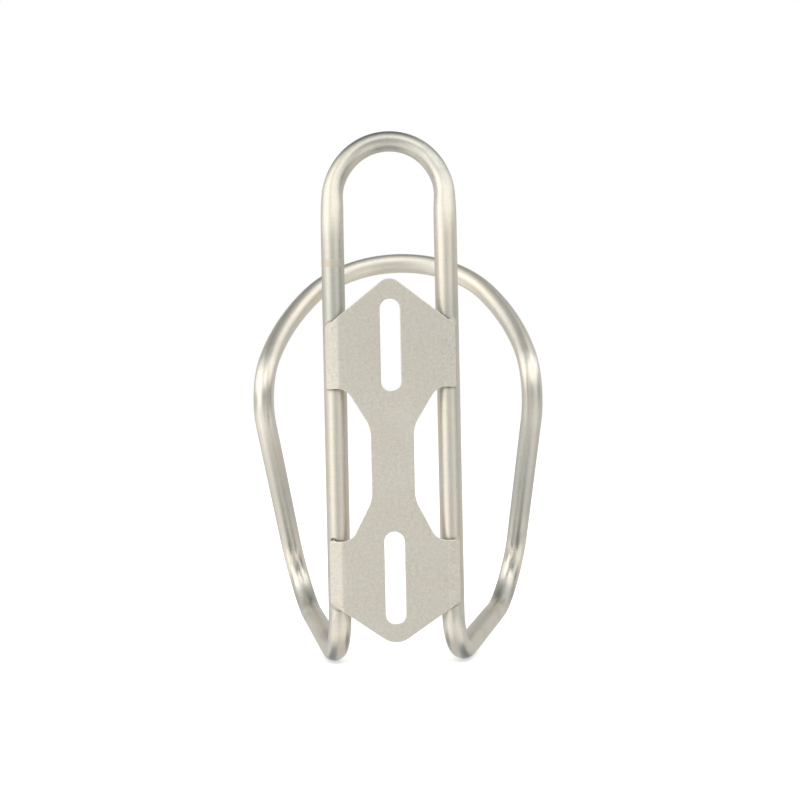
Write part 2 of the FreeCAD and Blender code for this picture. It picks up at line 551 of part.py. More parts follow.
def weld_bead(name, side, height, slope_alias, up, core):
    """Bead on one end of a wing: a three-sided fillet, turned about an axis that lies in the rail.

    The wing's edge passes the rail's middle at the given height. It is level, or its slope is a cell of the
    sheet, and then the bead hugs the ellipse in which the slanted plane cuts the rail. up is 1 for a bead
    above the edge and -1 for one below it.
    """
    sign = -1 if side == "left" else 1
    slope = math.radians(dim(slope_alias)) if slope_alias else 0.0
    hug = TUBE_RADIUS / math.cos(slope) ** 2
    leg = dim("bead_leg")
    belly = dim("bead_belly") * leg
    body = doc.addObject("PartDesign::Body", f"{name}_blank")
    sketch = new_sketch(body, f"{name}_section", "XZ_Plane")
    root = hug - dim("bead_root")
    corners = [Vector(root, 0, 0), Vector(hug + leg, 0, 0), Vector(hug + belly, up * belly, 0),
               Vector(hug, up * leg, 0), Vector(root, up * leg, 0)]
    for first, second in zip(corners, corners[1:] + corners[:1]):
        sketch.addGeometry(Part.LineSegment(first, second))
    for number in range(len(corners)):
        following = (number + 1) % len(corners)
        sketch.addConstraint(Sketcher.Constraint("Coincident", number, 2, following, 1))
    sketch.addConstraint(Sketcher.Constraint("Horizontal", 0))
    sketch.addConstraint(Sketcher.Constraint("Horizontal", 3))
    sketch.addConstraint(Sketcher.Constraint("Vertical", 4))
    sketch.addConstraint(Sketcher.Constraint("PointOnObject", 0, 1, -1))
    bind(sketch, Sketcher.Constraint("DistanceX", -1, 1, 0, 1, root), "root", f"{hug} - {cell('bead_root')}")
    bind(sketch, Sketcher.Constraint("Distance", 0, root + leg), "reach",
         f"{cell('bead_root')} + {cell('bead_leg')}")
    bind(sketch, Sketcher.Constraint("Distance", 3, dim("bead_root")), "foot", cell("bead_root"))
    bind(sketch, Sketcher.Constraint("Distance", 4, leg), "rise", cell("bead_leg"))
    bind(sketch, Sketcher.Constraint("DistanceX", -1, 1, 2, 1, hug + belly), "belly_out",
         f"{hug} + {cell('bead_belly')} * {cell('bead_leg')}")
    turned = body.newObject("PartDesign::Revolution", f"{name}_turned")
    turned.Profile = sketch
    turned.ReferenceAxis = (sketch, ["V_Axis"])
    turned.setExpression("Angle", f"({cell('bead_inner_angle')} + {cell('bead_outer_angle')})"
                                  f" * {TUBE_RADIUS / hug}")
    # turned from straight back, where the wing lies on the rail, towards the cage's middle and outwards
    first_angle = dim("bead_inner_angle") if side == "right" else dim("bead_outer_angle")
    spin = Rotation(Vector(0, 0, 1), -90 - first_angle * TUBE_RADIUS / hug)
    tilt = Rotation(Vector(0, 1, 0), sign * up * math.degrees(slope))
    place = Vector(sign * dim("rail_half"), RAIL_Y - TUBE_RADIUS + hug, height)
    body.Placement = Placement(place, tilt.multiply(spin))
    bead = doc.addObject("Part::Cut", name)
    bead.Label = name
    bead.Base = body
    bead.Tool = core
    return bead


TOP_EDGE = dim("top_apex") - dim("rail_half") * math.tan(math.radians(dim("top_slant")))
BOTTOM_EDGE = dim("bottom_apex") + dim("rail_half") * math.tan(math.radians(dim("bottom_slant")))
WING_EDGES = (
    ("upper_wing_top", TOP_EDGE, "top_slant", 1),
    ("upper_wing_bottom", dim("upper_ledge"), None, -1),
    ("lower_wing_top", dim("lower_ledge"), None, 1),
    ("lower_wing_bottom", BOTTOM_EDGE, "bottom_slant", -1),
)
beads = []
for hand in ("left", "right"):
    rail = rail_core(hand)
    for edge_name, edge_height, edge_slope, edge_up in WING_EDGES:
        beads.append(weld_bead(f"weld_{edge_name}_{hand}", hand, edge_height, edge_slope, edge_up, rail))
doc.recompute()

# ---------------------------------------------------------------------------------------------------------
# Test every object, then write each piece.

for item in doc.Objects:
    if "Invalid" in item.State or "Error" in item.State:
        raise RuntimeError(f"{item.Label} failed: {item.State}")
pieces = [plate, tube, joint_weld, joint_sleeve] + beads
for piece in pieces:
    if piece.Shape.isNull() or not piece.Shape.isValid() or len(piece.Shape.Solids) != 1:
        raise RuntimeError(f"{piece.Label} is not one valid solid")

length = centre_line.Shape.Length
expected = math.pi * (TUBE_RADIUS ** 2 - BORE_RADIUS ** 2) * length
volume_slack = 0.005
print(f"tube length {length:.1f} mm, volume {tube.Shape.Volume:.1f} of {expected:.1f} mm3")
if abs(tube.Shape.Volume / expected - 1) > volume_slack:
    raise RuntimeError("the tube's volume is not its section times its length")

os.makedirs("parts", exist_ok=True)
for piece in pieces:
    piece.Shape.exportStep(f"parts/{piece.Label}.step")
    box = piece.Shape.optimalBoundingBox()
    print(f"{piece.Label}: {piece.Shape.Volume:.2f} mm3, X {box.XMin:.2f} {box.XMax:.2f}, "
          f"Y {box.YMin:.2f} {box.YMax:.2f}, Z {box.ZMin:.2f} {box.ZMax:.2f}")
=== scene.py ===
import math

import bmesh
import bpy
import numpy as np
from mathutils import Matrix, Vector


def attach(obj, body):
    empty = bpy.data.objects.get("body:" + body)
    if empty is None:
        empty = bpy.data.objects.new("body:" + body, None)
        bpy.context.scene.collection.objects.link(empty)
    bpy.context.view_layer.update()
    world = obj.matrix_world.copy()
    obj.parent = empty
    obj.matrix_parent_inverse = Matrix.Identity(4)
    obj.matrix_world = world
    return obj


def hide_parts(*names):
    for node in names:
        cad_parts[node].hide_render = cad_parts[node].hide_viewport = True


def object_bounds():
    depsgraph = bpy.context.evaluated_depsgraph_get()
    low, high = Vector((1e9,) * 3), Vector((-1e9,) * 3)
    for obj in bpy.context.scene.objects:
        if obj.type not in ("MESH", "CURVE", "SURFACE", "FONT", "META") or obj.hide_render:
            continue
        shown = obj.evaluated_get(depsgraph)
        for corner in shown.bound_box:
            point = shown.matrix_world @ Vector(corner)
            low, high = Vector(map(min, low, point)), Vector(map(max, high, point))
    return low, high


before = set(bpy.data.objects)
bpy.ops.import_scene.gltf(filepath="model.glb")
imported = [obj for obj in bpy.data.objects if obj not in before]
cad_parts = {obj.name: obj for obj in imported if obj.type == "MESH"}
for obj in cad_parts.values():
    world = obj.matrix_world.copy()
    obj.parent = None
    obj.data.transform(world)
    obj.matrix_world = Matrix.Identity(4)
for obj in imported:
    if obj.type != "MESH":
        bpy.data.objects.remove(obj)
cad_low, cad_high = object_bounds()

MM = 0.001
ROOT = "root"

# The cage's driving dimensions, in millimetres and degrees, as in its CAD source. Origin: middle of the
# mounting slots on the plate's back face. +Y points at the bottle, +Z up along it.
TUBE_RADIUS = 3.175
TUBE_WALL = 0.4
BOTTLE_RADIUS = 37.0
RAIL_HALF = 15.7
RAIL_Y = 4.831
TAB_CREST = 89.75
TAB_KNEE = 66.0
TAB_LEAN = 15.0
TAB_KNEE_BEND = 30.0
TAB_TOP_BEND = 14.7
TAB_TOP_TURN = 45.0
RING_CREST = 62.0
RING_TILT = 45.3
RING_FRONT_BEND = 33.7
RING_FRONT_TURN = 57.8
RING_SIDE_BEND = 80.4
RING_SIDE_TURN = 22.7
ELBOW_BEND = 16.0
ARM_LEAN = 32.1
ARM_TAPER = 6.1
TOE_HEIGHT = -48.0
TOE_BEND = 15.2
HEEL_HEIGHT = -55.8
HEEL_BEND = 13.4
JOINT_HEIGHT = 55.0
JOINT_GAP = 1.8
SHEET_THICK = 0.9
WING_ANGLE = 20.0
SEAT_GAP = 0.02
TOP_APEX = 51.3
TOP_SLANT = 38.2
UPPER_LEDGE = 20.2
LOWER_LEDGE = -21.8
BOTTOM_APEX = -50.9
BOTTOM_SLANT = 34.3


# ---------------------------------------------------------------------------------------------------------
# Centre line of the tube, in millimetres

SIDEWAYS = Vector((1, 0, 0))


def bend(before, corner, after, radius):
    """Start, middle and end of the arc that rounds a corner of the centre line."""
    back = (before - corner).normalized()
    ahead = (after - corner).normalized()
    half = back.angle(ahead) / 2
    centre = corner + (back + ahead).normalized() * (radius / math.sin(half))
    reach = radius / math.tan(half)
    return corner + back * reach, centre + (corner - centre).normalized() * radius, corner + ahead * reach


def spoke(centre, radius, angle, up):
    """Point of a circle at this angle from its top, turned to the right."""
    return centre + (SIDEWAYS * math.sin(angle) + up * math.cos(angle)) * radius


def tab_arcs():
    """Arcs over the tab's top and round its side, in the plane in which the tab leans."""
    lean = math.radians(TAB_LEAN)
    up_tab = Vector((0, math.sin(lean), math.cos(lean)))
    tab_top = Vector((0, RAIL_Y, TAB_KNEE)) + up_tab * ((TAB_CREST - TAB_KNEE) / math.cos(lean))
    top_turn = math.radians(TAB_TOP_TURN)
    quarter = math.pi / 2
    top_centre = tab_top - up_tab * TAB_TOP_BEND
    shoulder = spoke(top_centre, TAB_TOP_BEND, top_turn, up_tab)
    shoulder_bend = (RAIL_HALF - TAB_TOP_BEND * math.sin(top_turn)) / (1 - math.sin(top_turn))
    shoulder_centre = spoke(shoulder, -shoulder_bend, top_turn, up_tab)
    tab_over = (tab_top, spoke(top_centre, TAB_TOP_BEND, top_turn / 2, up_tab), shoulder)
    tab_side = (shoulder, spoke(shoulder_centre, shoulder_bend, (top_turn + quarter) / 2, up_tab),
                spoke(shoulder_centre, shoulder_bend, quarter, up_tab))
    return tab_over, tab_side


def ring_arcs():
    """Arcs round the ring's front and side, in its sloping plane, and the direction in which they end."""
    tilt = math.radians(RING_TILT)
    up_ring = Vector((0, math.cos(tilt), math.sin(tilt)))
    reach = BOTTLE_RADIUS + TUBE_RADIUS
    crest = Vector((0, RAIL_Y + reach + math.sqrt(reach ** 2 - RAIL_HALF ** 2), RING_CREST))
    front_turn = math.radians(RING_FRONT_TURN)
    end_turn = front_turn + math.radians(RING_SIDE_TURN)
    front_centre = crest - up_ring * RING_FRONT_BEND
    front_end = spoke(front_centre, RING_FRONT_BEND, front_turn, up_ring)
    side_centre = spoke(front_end, -RING_SIDE_BEND, front_turn, up_ring)
    ring_front = (crest, spoke(front_centre, RING_FRONT_BEND, front_turn / 2, up_ring), front_end)
    ring_side = (front_end, spoke(side_centre, RING_SIDE_BEND, (front_turn + end_turn) / 2, up_ring),
                 spoke(side_centre, RING_SIDE_BEND, end_turn, up_ring))
    return ring_front, ring_side, SIDEWAYS * math.cos(end_turn) - up_ring * math.sin(end_turn)


def right_half():
    """Arcs of the right half, from the top of the tab to the front of the ring."""
    tab_over, tab_side = tab_arcs()
    ring_front, ring_side, ring_run = ring_arcs()
    inwards = math.tan(math.radians(ARM_TAPER))
    forwards = math.tan(math.radians(ARM_LEAN))
    arm_run = Vector((-inwards, forwards, -1)).normalized()
    elbow_corner = ring_side[2] + ring_run * (ELBOW_BEND * math.tan(ring_run.angle(arm_run) / 2))
    toe_corner = elbow_corner + arm_run * ((elbow_corner.z - TOE_HEIGHT) / -arm_run.z)
    heel_corner = Vector((RAIL_HALF, RAIL_Y, HEEL_HEIGHT))
    knee = Vector((RAIL_HALF, RAIL_Y, TAB_KNEE))
    return [
        tab_over,
        tab_side,
        tuple(reversed(bend(heel_corner, knee, tab_side[2], TAB_KNEE_BEND))),
        bend(knee, heel_corner, toe_corner, HEEL_BEND),
        bend(heel_corner, toe_corner, elbow_corner, TOE_BEND),
        bend(toe_corner, elbow_corner, ring_side[2], ELBOW_BEND),
        tuple(reversed(ring_side)),
        tuple(reversed(ring_front)),
    ]


def arc_samples(start, middle, end, step):
    """Points along an arc, its start left out, each with the vector to its centre over radius squared."""
    a, b = middle - start, end - start
    normal = a.cross(b)
    centre = start + (b.length_squared * normal.cross(a) - a.length_squared * normal.cross(b)) \
        / (2 * normal.length_squared)
    radius = (start - centre).length
    axis = normal.normalized()
    turn = 2 * (start - centre).angle(middle - centre)
    count = max(2, round(radius * turn / step))
    for number in range(1, count + 1):
        point = centre + Matrix.Rotation(turn * number / count, 3, axis) @ (start - centre)
        yield point, (centre - point) / radius ** 2


def centre_line(step):
    """Points of the whole centre line, from the joint's upper side to its lower side, and their curvature."""
    def mirrored(point):
        return Vector((-point.x, point.y, point.z))

    right = right_half()
    left = [tuple(mirrored(point) for point in reversed(arc)) for arc in reversed(right)]
    joint = Vector((-RAIL_HALF, RAIL_Y, JOINT_HEIGHT))
    half_gap = Vector((0, 0, JOINT_GAP / 2))
    points, curves = [joint + half_gap], [Vector()]

    def run_to(target):
        start = points[-1].copy()
        count = max(1, round((target - start).length / step))
        for number in range(1, count + 1):
            points.append(start.lerp(target, number / count))
            curves.append(Vector())

    for arc in left[-3:] + right + left[:-3]:
        if (arc[0] - points[-1]).length > step / 10:
            run_to(arc[0])
        for point, curve in arc_samples(*arc, step):
            points.append(point)
            curves.append(curve)
    run_to(joint - half_gap)
    return np.array(points), np.array(curves)


# ---------------------------------------------------------------------------------------------------------
# Mesh helpers

SHARP_ANGLE = math.radians(50)


def new_piece(name, vertices, faces, material, replaced):
    """Object from vertices in millimetres, smooth shaded, riding on the cage."""
    mesh = bpy.data.meshes.new(name)
    mesh.from_pydata([tuple(v) for v in np.asarray(vertices, float) * MM], [], faces)
    mesh.shade_smooth()
    mesh.set_sharp_from_angle(angle=SHARP_ANGLE)
    return finish_piece(name, mesh, material, replaced)


def finish_piece(name, mesh, material, replaced):
    """Object from a mesh, in place of the CAD nodes that it replaces."""
    piece = bpy.data.objects.new(name, mesh)
    bpy.context.scene.collection.objects.link(piece)
    mesh.materials.append(material)
    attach(piece, ROOT)
    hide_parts(*replaced)
    return piece


def grid_faces(rows, columns, first=0, flip=False):
    """Quads between rows of vertices, each row a closed ring of this many columns."""
    faces = []
    for row in range(rows - 1):
        for column in range(columns):
            a = first + row * columns + column
            b = first + row * columns + (column + 1) % columns
            face = (a, b, b + columns, a + columns)
            faces.append(face[::-1] if flip else face)
    return faces


# ---------------------------------------------------------------------------------------------------------
# Tube: swept with a turning frame, and flattened a little in its bends, as bent tube is

STEP = 1.1           # mm between two rings of vertices
SEGMENTS = 48
RIM_ANGLES = np.arange(SEGMENTS) * 2 * math.pi / SEGMENTS
FLATTEN = 1.9        # flattening in the plane of a bend is this over the bend's radius
MOST_FLAT = 0.13
STRAIGHT = 1e-5      # curvature, per mm, below which the tube isn't flattened
BLUR = 3.2           # mm along the tube over which a bend's flattening comes and goes
TIGHT_BEND = 15.6    # bends of a smaller radius, in mm, are marked by the bending die
WEAR_REACH = 9.0     # mm along the tube over which those marks fade
HALF_WIDTH = cad_high.x / MM    # the CAD's, which the tube stays inside
STRETCHES = {
    # sides (-1 is left), nearest and furthest depth, middle height and reach in mm, and strength
    "dark_stretch": (
        ((-1,), 0, 8, 52.0, 9.0, 0.70),      # left rail, darker round the joint
        ((-1, 1), 0, 8, 40.0, 5.0, 0.55),    # rails, darker over the plate
        ((-1, 1), 8, 16, 90.0, 6.0, 0.70),   # top of the tab, painted darker: painted shade
        ((1,), 12, 90, -8.0, 15.0, 0.90),    # right arm, darkened most
        ((-1,), 12, 90, -12.0, 12.0, 0.55),  # left arm
        ((-1, 1), 60, 90, -46.5, 2.1, 1.2),  # toes, painted darker inside the bend: painted shade
    ),
    "painted_light_stretch": (
        ((-1, 1), 55, 90, 60.0, 10.0, 1.0),  # front of the ring, painted lighter and made rougher: painted light
    ),
    "polish_and_highlight_stretch": (
        ((-1, 1), 60, 90, -36.0, 5.0, 0.85),  # toes, made smoother and painted lighter: a painted highlight
        ((-1,), 25, 70, 17.0, 8.0, 0.70),    # left elbow, likewise
        ((1,), 25, 70, 25.0, 5.0, 0.70),     # right elbow, likewise
        ((-1, 1), 60, 90, -46.5, 2.1, -0.8),  # toes, made rougher and painted darker inside the bend: painted shade
    ),
}


def bell(distance, reach):
    """Bell curve that is 1 at no distance and fades over this reach."""
    return np.exp(-(distance / reach) ** 2 / 2)


def stretch_marks(points):
    """How strongly each point of the centre line is marked, for each kind of mark."""
    side_of = np.where(points[:, 0] < 0, -1, 1)
    marks = {}
    for name, stretches in STRETCHES.items():
        marks[name] = np.zeros(len(points))
        for sides, near, far, middle, reach, strength in stretches:
            inside = np.isin(side_of, sides) & (points[:, 1] > near) & (points[:, 1] < far)
            marks[name] += inside * strength * bell(points[:, 2] - middle, reach)
    return marks


def directions(points, lengths):
    """Direction of the centre line at each of its points."""
    tangents = np.gradient(points, lengths, axis=0)
    tangents[0] = tangents[1]
    tangents[-1] = tangents[-2]
    return tangents / np.linalg.norm(tangents, axis=1)[:, None]


def rims(points, tangents, curves):
    """Unit rim of the tube at each point, flattened in the bends and kept inside the CAD's width."""
    side = np.array([1.0, 0.0, 0.0])
    for point, tangent, curve in zip(points, tangents, curves):
        side = side - tangent * (side @ tangent)
        side /= np.linalg.norm(side)
        up = np.cross(tangent, side)
        rim = np.cos(RIM_ANGLES)[:, None] * side + np.sin(RIM_ANGLES)[:, None] * up
        bent = np.linalg.norm(curve)
        if bent > STRAIGHT:
            towards = curve / bent
            flat = min(FLATTEN * bent, MOST_FLAT)
            rim = rim - flat * (rim @ towards)[:, None] * towards
        widest = max(abs(point[0] + rim[:, 0] * TUBE_RADIUS))
        if widest > HALF_WIDTH:
            rim[:, 0] *= (HALF_WIDTH - abs(point[0])) / (widest - abs(point[0]))
        yield rim


def end_faces(ring, inner, flip):
    """Quads between the outer and the inner rim at one end of the tube."""
    faces = []
    for column in range(SEGMENTS):
        a = ring * SEGMENTS + column
        b = ring * SEGMENTS + (column + 1) % SEGMENTS
        face = (a, a + inner, b + inner, b)
        faces.append(face[::-1] if flip else face)
    return faces


def tube_mesh():
    """Vertices and faces of the tube's outside and inside, its straight space, and its marks."""
    points, curves = centre_line(STEP)
    lengths = np.r_[0, np.cumsum(np.linalg.norm(np.diff(points, axis=0), axis=1))]
    apart = lengths[:, None] - lengths[None, :]
    tight = np.linalg.norm(curves, axis=1) > 1 / TIGHT_BEND
    marks = {"bend_wear": (bell(apart, WEAR_REACH) * tight).max(axis=1), **stretch_marks(points)}
    weights = bell(apart, BLUR)
    curves = weights @ curves / weights.sum(1)[:, None]
    unit_rims = list(rims(points, directions(points, lengths), curves))
    rows = [point + rim * TUBE_RADIUS for point, rim in zip(points, unit_rims)]
    inner_rows = [point + rim * (TUBE_RADIUS - TUBE_WALL) for point, rim in zip(points, unit_rims)]
    count = len(points)
    inner = count * SEGMENTS
    faces = grid_faces(count, SEGMENTS)
    faces += grid_faces(count, SEGMENTS, inner, flip=True)
    faces += end_faces(0, inner, False)
    faces += end_faces(count - 1, inner, True)
    space = [(along, math.cos(angle) * TUBE_RADIUS, math.sin(angle) * TUBE_RADIUS)
             for along in lengths for angle in RIM_ANGLES]
    marks = {name: np.tile(np.repeat(values, SEGMENTS), 2) for name, values in marks.items()}
    return np.vstack(rows + inner_rows), faces, np.array(space + space), marks


def keep_for_material(piece, space, marks):
    """Store where each point would be if the tube were straight, in millimetres, and how marked it is."""
    attribute = piece.data.attributes.new("tube_space", "FLOAT_VECTOR", "POINT")
    attribute.data.foreach_set("vector", np.asarray(space, np.float32).ravel())
    for name, values in marks.items():
        attribute = piece.data.attributes.new(name, "FLOAT", "POINT")
        attribute.data.foreach_set("value", np.asarray(values, np.float32))


# ---------------------------------------------------------------------------------------------------------
# Titanium, in four looks: satin tube, blasted sheet, weld metal and the turned sleeve. Colours are linear.


class Look:
    """A metal's node tree, with short ways to add nodes to it."""

    def __init__(self, name):
        self.material = bpy.data.materials.new(name)
        self.material.use_nodes = True
        self.tree = self.material.node_tree
        self.shader = self.tree.nodes["Principled BSDF"]
        self.shader.inputs["Metallic"].default_value = 1.0

    def add(self, kind, inputs, **settings):
        """Node whose inputs, by name or number, are values or other nodes' outputs."""
        node = self.tree.nodes.new(kind)
        for key, value in settings.items():
            setattr(node, key, value)
        for key, value in inputs.items():
            if isinstance(value, bpy.types.NodeSocket):
                self.tree.links.new(value, node.inputs[key])
            else:
                node.inputs[key].default_value = value
        return node

    def attribute(self, name, output):
        return self.add("ShaderNodeAttribute", {}, attribute_name=name).outputs[output]

    def object_space(self):
        """Place on the piece, in millimetres."""
        place = self.add("ShaderNodeTexCoord", {}).outputs["Object"]
        return self.add("ShaderNodeVectorMath", {0: place, "Scale": 1 / MM}, operation="SCALE").outputs[0]

    def noise(self, space, stretch, detail=2.0, roughness=0.5, distortion=0.0, seed=0.0):
        """Noise from 0 to 1, with this many features to the millimetre along each axis of the space."""
        placing = {"Vector": space, "Scale": stretch, "Location": (seed, seed, seed)}
        placed = self.add("ShaderNodeMapping", placing)
        inputs = {"Vector": placed.outputs[0], "Scale": 1.0, "Detail": detail, "Roughness": roughness,
                  "Distortion": distortion}
        return self.add("ShaderNodeTexNoise", inputs).outputs["Fac"]

    def crevice(self, reach):
        """How open the place is within this many millimetres, from 0 in a crevice to 1 in the open."""
        return self.add("ShaderNodeAmbientOcclusion", {"Distance": reach * MM}, samples=8).outputs["AO"]

    def fade(self, value, start, end, first=0.0, last=1.0):
        """Value turned smoothly from first to last as it goes from start to end."""
        inputs = {"Value": value, "From Min": start, "From Max": end, "To Min": first, "To Max": last}
        return self.add("ShaderNodeMapRange", inputs, interpolation_type="SMOOTHSTEP").outputs[0]

    def sum(self, *terms):
        """Sum of (value, weight) terms, each value taken about one half, and of plain values."""
        total = None
        for term in terms:
            if isinstance(term, tuple):
                inputs = {0: term[0], 1: term[1], 2: -0.5 * term[1]}
                term = self.add("ShaderNodeMath", inputs, operation="MULTIPLY_ADD").outputs[0]
            if total is None:
                total = term
            else:
                total = self.add("ShaderNodeMath", {0: total, 1: term}, operation="ADD").outputs[0]
        return total

    def product(self, a, b):
        return self.add("ShaderNodeMath", {0: a, 1: b}, operation="MULTIPLY").outputs[0]

    def mix(self, factor, first, last):
        node = self.add("ShaderNodeMix", {0: factor, 6: first, 7: last}, data_type="RGBA")
        return node.outputs[2]

    def scaled(self, colour, value):
        return self.add("ShaderNodeVectorMath", {0: colour, "Scale": value}, operation="SCALE").outputs[0]

    def finish(self, colour, roughness, height, relief):
        """Join the look's colour, roughness and height to the shader; relief is the height's depth in mm."""
        self.tree.links.new(colour, self.shader.inputs["Base Color"])
        self.tree.links.new(roughness, self.shader.inputs["Roughness"])
        bump = self.add("ShaderNodeBump", {"Height": height, "Strength": 1.0, "Distance": relief * MM})
        self.tree.links.new(bump.outputs[0], self.shader.inputs["Normal"])
        return self.material


WARM = (0.675, 0.622, 0.526, 1)
COOL = (0.652, 0.616, 0.540, 1)
STAIN = (0.470, 0.462, 0.420, 1)
DARK = (0.500, 0.492, 0.440, 1)
SEAM_SHADE = (0.150, 0.155, 0.155, 1)
SHEET_WARM = (0.648, 0.604, 0.524, 1)
SHEET_COOL = (0.638, 0.602, 0.530, 1)
HEAT_TINT = (0.640, 0.595, 0.500, 1)
TUBE_ROUGHNESS, TUBE_RELIEF = 0.42, 0.012      # reliefs are in millimetres
SHEET_ROUGHNESS, SHEET_RELIEF = 0.55, 0.03
WELD_ROUGHNESS, WELD_RELIEF = 0.54, 0.016
SLEEVE_ROUGHNESS, SLEEVE_RELIEF = 0.32, 0.01
WELD_BRIGHTNESS = 0.90
# the toothed bead is painted brighter than the other welds: a painted highlight
TOOTH_HIGHLIGHT_BRIGHTNESS = 1.15
JOINT_BRIGHTNESS = 0.86
CREVICE_REACH = 1.6                  # mm from the plate within which the tube gets painted shade
SCRATCH_TURN = math.radians(38)
SHADE_START, SHADE_END = 5.0, 40.0   # heights in mm between which the sheet gets darker
SHADE = 0.93


def tube_look():
    """Satin tube: fine grain, brushed mostly along its length, cloudy, marked or polished in its bends,
    with painted highlights and painted shade in places.
    """
    look = Look("tube_titanium")
    space = look.attribute("tube_space", "Vector")
    wear = look.attribute("bend_wear", "Fac")
    dark = look.attribute("dark_stretch", "Fac")
    painted_light = look.attribute("painted_light_stretch", "Fac")
    polish_and_highlight = look.attribute("polish_and_highlight_stretch", "Fac")
    grain = look.noise(space, (2.6, 2.6, 2.6), detail=3.0, roughness=0.6)
    brushing = look.noise(space, (0.09, 2.6, 2.6), detail=4.0, roughness=0.6, seed=7.0)
    cross_brushing = look.noise(space, (2.2, 0.22, 0.22), detail=3.0, seed=3.0)
    clouds = look.noise(space, (0.045, 0.14, 0.14), detail=3.0, seed=11.0)
    blotches = look.noise(space, (0.09, 0.20, 0.20), detail=3.0, roughness=0.5, distortion=0.4, seed=23.0)
    smears = look.noise(space, (0.035, 0.5, 0.5), detail=4.0, roughness=0.6, distortion=0.4, seed=31.0)

    marked = look.product(look.fade(blotches, 0.48, 0.68), look.fade(wear, 0.05, 0.8, 0.10, 0.60))
    smeared = look.product(look.fade(smears, 0.52, 0.74), look.fade(wear, 0.0, 0.6, 0.12, 0.4))
    unpolished = look.fade(polish_and_highlight, 0.0, 0.7, 1.0, 0.15)
    marked = look.product(marked, unpolished)
    smeared = look.product(smeared, unpolished)
    colour = look.mix(look.fade(clouds, 0.38, 0.62), WARM, COOL)
    # painted shade inside the toes' bends and at the top of the tab, among the darker stretches
    colour = look.mix(look.product(dark, look.fade(smears, 0.20, 0.60, 0.7, 1.0)), colour, DARK)
    colour = look.mix(marked, colour, STAIN)
    colour = look.mix(smeared, colour, STAIN)
    # painted shade: the tube darkened in crevices, where the plate and other parts crowd it
    colour = look.mix(look.fade(look.crevice(CREVICE_REACH), 0.45, 0.90, 1.0, 0.0), colour, SEAM_SHADE)
    mottle = look.product(look.sum((grain, 0.24), (brushing, 0.20), (cross_brushing, 0.12)), unpolished)
    # painted highlight: the smoother stretches of the toes and elbows are painted lighter
    # painted light: the front of the ring is painted lighter
    tone = look.sum(1.0, mottle, look.product(painted_light, 0.12), look.product(polish_and_highlight, 0.10))
    colour = look.scaled(colour, tone)

    rubbed = look.product(wear, -0.05)
    uneven = look.product(look.sum((clouds, 0.10), (brushing, 0.08), (grain, 0.06)), unpolished)
    roughness = look.sum(TUBE_ROUGHNESS, rubbed, uneven, look.product(marked, 0.06))
    roughness = look.sum(roughness, look.product(painted_light, 0.05), look.product(polish_and_highlight, -0.18))
    height = look.sum((brushing, 0.7), (grain, 0.6), (cross_brushing, 0.35))
    return look.finish(colour, roughness, look.product(height, unpolished), TUBE_RELIEF)


def sheet_look():
    """Bead blasted sheet: fine speckle, soft patches, a few thin scratches, and rubbed edges with a painted
    highlight.
    """
    look = Look("plate_titanium")
    space = look.object_space()
    edge = look.attribute("rubbed_edge_and_highlight", "Fac")
    grain = look.noise(space, (2.3, 2.3, 2.3), detail=3.0, roughness=0.65)
    speckle = look.noise(space, (0.9, 0.9, 0.9), detail=3.0, roughness=0.6, seed=5.0)
    patches = look.noise(space, (0.10, 0.10, 0.10), detail=4.0, roughness=0.55, seed=13.0)
    rolling = look.noise(space, (1.6, 1.6, 0.05), detail=3.0, seed=17.0)
    turned = look.add("ShaderNodeMapping", {"Vector": space, "Rotation": (0, SCRATCH_TURN, 0)}).outputs[0]
    strokes = look.noise(turned, (0.05, 0.05, 3.4), detail=2.0, distortion=0.3, seed=29.0)
    few = look.fade(look.noise(space, (0.07, 0.07, 0.07), seed=41.0), 0.52, 0.60)
    scratches = look.product(look.fade(strokes, 0.69, 0.74), few)

    colour = look.mix(look.fade(patches, 0.35, 0.65), SHEET_WARM, SHEET_COOL)
    tone = look.sum(1.0, (grain, 0.55), (speckle, 0.30), (patches, 0.10), (rolling, 0.06))
    # painted highlight: the rubbed edges are painted lighter
    tone = look.sum(tone, look.product(edge, 0.10), look.product(scratches, 0.10))
    colour = look.scaled(colour, tone)
    height_up = look.add("ShaderNodeSeparateXYZ", {0: space}).outputs["Z"]
    colour = look.scaled(colour, look.fade(height_up, SHADE_START, SHADE_END, 1.0, SHADE))
    roughness = look.sum(SHEET_ROUGHNESS, (patches, 0.08), (grain, 0.10), look.product(edge, -0.18))
    height = look.sum((grain, 1.0), (speckle, 0.6), (rolling, 0.3), look.product(scratches, -0.6))
    return look.finish(colour, roughness, height, SHEET_RELIEF)


def weld_look(name, brightness):
    """Weld metal: a little straw coloured from the heat, smooth, with a grain as fine as the tube's."""
    look = Look(name)
    space = look.object_space()
    grain = look.noise(space, (2.6, 2.6, 2.6), detail=3.0, roughness=0.6)
    tint = look.noise(space, (0.45, 0.45, 0.45), detail=3.0, seed=19.0)
    colour = look.mix(look.fade(tint, 0.40, 0.70, 0.0, 0.45), WARM, HEAT_TINT)
    colour = look.scaled(colour, look.sum(brightness, (grain, 0.16)))
    roughness = look.sum(WELD_ROUGHNESS, (tint, 0.10), (grain, 0.08))
    height = look.sum((grain, 0.6), (tint, 1.6))
    return look.finish(colour, roughness, height, WELD_RELIEF)


def sleeve_look():
    """Turned sleeve inside the joint, which nothing shows: plain grain and fine turning lines."""
    look = Look("sleeve_titanium")
    space = look.object_space()
    turning = look.noise(space, (0.1, 0.1, 3.0), detail=3.0)
    grain = look.noise(space, (2.0, 2.0, 2.0), detail=2.0)
    colour = look.scaled(look.mix(grain, WARM, COOL), look.sum(0.97, (turning, 0.15)))
    return look.finish(colour, look.sum(SLEEVE_ROUGHNESS, (turning, 0.12)), turning, SLEEVE_RELIEF)


